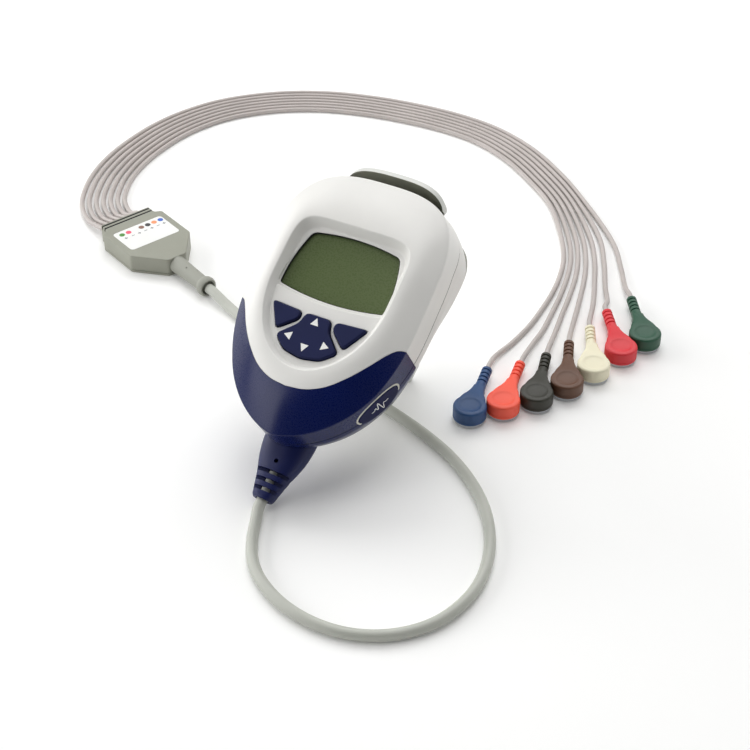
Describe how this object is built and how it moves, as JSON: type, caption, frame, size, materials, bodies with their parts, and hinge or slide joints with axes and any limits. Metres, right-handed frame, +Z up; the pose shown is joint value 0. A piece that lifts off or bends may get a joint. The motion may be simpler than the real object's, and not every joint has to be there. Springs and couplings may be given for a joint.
{
  "type": "holter monitor",
  "caption": "Tilted wearable heart recorder with screen, keypad, side event button and belt clip, with a patient cable that splits at a yoke into coloured snap leads.",
  "frame": {"origin": "centre of the recorder's bounding box on the table, without the cable, yoke and leads", "axes": "+X to the recorder's right, +Y level towards its raised top end, +Z up"},
  "size_m": [0.3091, 0.3618, 0.0938],
  "materials": {
    "white_shell": "satin",
    "navy_shell": "satin",
    "grey_shell": "satin",
    "screen": "gloss",
    "inner_plastic": "matte",
    "key_rubber": "matte",
    "seal": "matte",
    "circuit_board": "satin",
    "cell_can": "satin",
    "steel": "satin",
    "navy_rubber": "satin",
    "cable_jacket": "satin",
    "lead_jacket": "satin",
    "yoke_shell": "satin",
    "label_film": "satin",
    "snap_metal": "satin",
    "snap_blue": "matte",
    "snap_orange": "matte",
    "snap_black": "matte",
    "snap_brown": "matte",
    "snap_ivory": "matte",
    "snap_red": "matte",
    "snap_green": "matte"
  },
  "bodies": {
    "recorder": {"front_housing": "white_shell", "front_lower_trim": "navy_shell", "rear_housing": "white_shell", "rear_lower_trim": "navy_shell", "parting_gasket": "seal", "display_window": "screen", "display_panel": "screen", "display_carrier": "inner_plastic", "keypad_membrane": "seal", "event_button_ring": "white_shell", "main_board": "circuit_board", "connector_socket": "inner_plastic", "plug_contacts": "inner_plastic", "battery_tray": "inner_plastic", "battery_left": "cell_can", "battery_right": "cell_can", "contact_strip_low": "steel", "contact_strip_high": "steel", "case_screw_1": "steel", "case_screw_2": "steel", "case_screw_3": "steel", "case_screw_4": "steel", "plug_body": "navy_rubber", "trunk_cable": "cable_jacket", "yoke_cover": "yoke_shell", "yoke_base": "yoke_shell", "yoke_strain_relief": "yoke_shell", "yoke_label": "label_film", "lead_blue": "lead_jacket", "lead_orange": "lead_jacket", "lead_black": "lead_jacket", "lead_brown": "lead_jacket", "lead_ivory": "lead_jacket", "lead_red": "lead_jacket", "lead_green": "lead_jacket", "snap_head_blue": "snap_blue", "snap_head_orange": "snap_orange", "snap_head_black": "snap_black", "snap_head_brown": "snap_brown", "snap_head_ivory": "snap_ivory", "snap_head_red": "snap_red", "snap_head_green": "snap_green", "snap_socket_blue": "snap_metal", "snap_socket_orange": "snap_metal", "snap_socket_black": "snap_metal", "snap_socket_brown": "snap_metal", "snap_socket_ivory": "snap_metal", "snap_socket_red": "snap_metal", "snap_socket_green": "snap_metal"},
    "left_key": {"soft_key_left": "key_rubber"},
    "right_key": {"soft_key_right": "key_rubber"},
    "nav_rocker": {"nav_pivot": "inner_plastic"},
    "nav_pad": {"nav_key": "key_rubber"},
    "side_button": {"event_button": "navy_shell"},
    "door": {"battery_door": "grey_shell", "clip_bracket": "grey_shell", "clip_pin": "steel"},
    "clip": {"belt_clip": "grey_shell"}
  },
  "joints": [
    {"name": "left_key_press", "type": "slide", "parent": "recorder", "child": "left_key", "axis": [0, 0.5373, -0.8434], "range_m": [0, 0.0006], "stiffness_N_per_m": 500, "springref_m": -0.0008},
    {"name": "right_key_press", "type": "slide", "parent": "recorder", "child": "right_key", "axis": [0, 0.5373, -0.8434], "range_m": [0, 0.0006], "stiffness_N_per_m": 500, "springref_m": -0.0008},
    {"name": "nav_tilt_up_down", "type": "hinge", "parent": "recorder", "child": "nav_rocker", "pos_m": [0, -0.02326, 0.05671], "axis": [1, 0, 0], "range_deg": [-2.5, 2.5], "stiffness_Nm_per_rad": 0.2},
    {"name": "nav_tilt_left_right", "type": "hinge", "parent": "nav_rocker", "child": "nav_pad", "pos_m": [0, -0.02326, 0.05671], "axis": [0, 0.8434, 0.5373], "range_deg": [-2.5, 2.5], "stiffness_Nm_per_rad": 0.2},
    {"name": "event_press", "type": "slide", "parent": "recorder", "child": "side_button", "axis": [-0.9175, 0.3355, 0.2137], "range_m": [0, 0.0008], "stiffness_N_per_m": 500, "springref_m": -0.0008},
    {"name": "door_slide", "type": "slide", "parent": "recorder", "child": "door", "axis": [0, 0.8434, 0.5373], "range_m": [0, 0.012]},
    {"name": "clip_swing", "type": "hinge", "parent": "door", "child": "clip", "pos_m": [0, 0.04828, 0.05795], "axis": [-1, 0, 0], "range_deg": [0, 44]}
  ]
}
